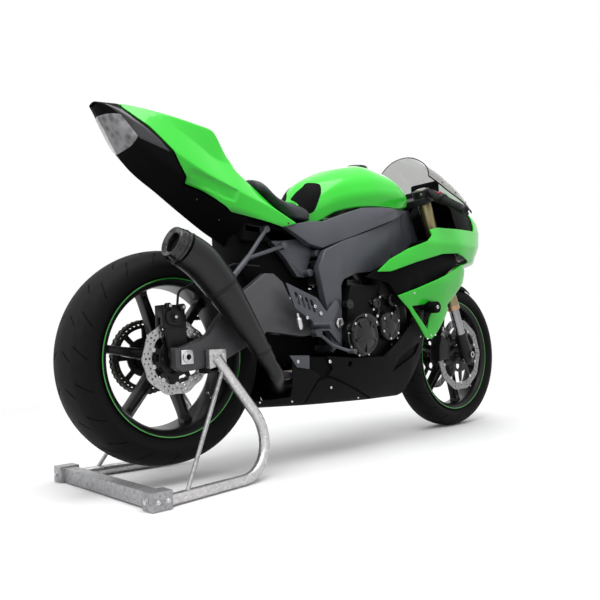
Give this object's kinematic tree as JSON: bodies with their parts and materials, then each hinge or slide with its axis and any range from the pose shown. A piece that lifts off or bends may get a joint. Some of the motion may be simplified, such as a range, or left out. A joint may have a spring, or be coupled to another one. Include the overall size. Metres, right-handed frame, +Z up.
{
  "type": "sport motorcycle on a paddock stand",
  "caption": "Sport motorcycle with a full fairing, clip-on bars, twin front brake discs, chain drive and a low silencer, parked on a tubular paddock stand under its swingarm.",
  "frame": {"origin": "on the floor under the middle of the overall length, in the bike's middle plane", "axes": "+X forward towards the front wheel, +Y to the rider's left, +Z up"},
  "size_m": [2.0134, 0.732, 1.129],
  "materials": {
    "tyre_rubber": "matt black rubber",
    "wheel_black": "satin black paint with a thin green rim line",
    "disc_steel": "ground brake disc steel",
    "chain_steel": "oiled steel",
    "axle_silver": "bright machined metal",
    "frame_grey": "satin dark grey paint",
    "engine_grey": "satin grey heat paint",
    "green_gloss": "gloss lime green lacquer",
    "black_plastic": "textured black plastic",
    "seat_cover": "dark grey grained seat cover",
    "core_black": "black finned core",
    "header_steel": "heat tinted steel",
    "silencer_black": "matt dark grey coating",
    "lens_clear": "clear grey lens",
    "screen_smoke": "light smoke screen",
    "fork_gold": "gold anodised",
    "stanchion_chrome": "polished fork leg",
    "stand_zinc": "galvanised tube",
    "hose_rubber": "black hose",
    "brake_black": "dark anodised"
  },
  "bodies": {
    "chassis": {"drive_chain": "chain_steel", "rear_axle": "axle_silver", "swingarm": "frame_grey", "pivot_bolt": "axle_silver", "frame": "frame_grey", "subframe": "frame_grey", "engine_block": "engine_grey", "engine_covers": "engine_grey", "radiator": "core_black", "shock_absorber": "axle_silver", "exhaust_headers": "header_steel", "silencer": "silencer_black", "fuel_tank": "green_gloss", "tank_covers": "black_plastic", "seat": "seat_cover", "tail_cowl": "green_gloss", "undertray": "black_plastic", "tail_lamp": "lens_clear", "upper_fairing": "green_gloss", "side_fairings": "green_gloss", "inner_panels": "black_plastic", "belly_pan": "black_plastic", "headlamps": "lens_clear", "windscreen": "screen_smoke", "instrument_panel": "black_plastic", "rear_caliper": "brake_black", "footrests": "brake_black", "rear_hugger": "black_plastic", "frame_sliders": "black_plastic", "paddock_stand": "stand_zinc"},
    "steering": {"fork_yokes": "frame_grey", "fork_tubes": "fork_gold", "fork_legs": "stanchion_chrome", "front_axle": "axle_silver", "front_fender": "black_plastic", "handlebars": "black_plastic", "hand_controls": "brake_black", "front_calipers": "brake_black", "brake_hoses": "hose_rubber"},
    "front_wheel": {"front_tyre": "tyre_rubber", "front_rim": "wheel_black", "front_discs": "disc_steel"},
    "rear_wheel": {"rear_tyre": "tyre_rubber", "rear_rim": "wheel_black", "rear_disc": "disc_steel", "rear_sprocket": "wheel_black"},
    "side_stand": {"side_stand": "frame_grey"}
  },
  "joints": [
    {"name": "steering_turn", "type": "hinge", "parent": "chassis", "child": "steering", "pos_m": [0.47283, 0, 0.83148], "axis": [-0.3584, 0, 0.9336], "range_deg": [-27, 27]},
    {"name": "front_wheel_spin", "type": "hinge", "parent": "steering", "child": "front_wheel", "pos_m": [0.70673, 0, 0.3], "axis": [0, 1, 0], "continuous": true},
    {"name": "rear_wheel_spin", "type": "hinge", "parent": "chassis", "child": "rear_wheel", "pos_m": [-0.69173, 0, 0.3655], "axis": [0, 1, 0], "continuous": true},
    {"name": "side_stand_fold", "type": "hinge", "parent": "chassis", "child": "side_stand", "pos_m": [-0.10173, 0.182, 0.318], "axis": [0, -1, 0], "range_deg": [0, 100]}
  ]
}
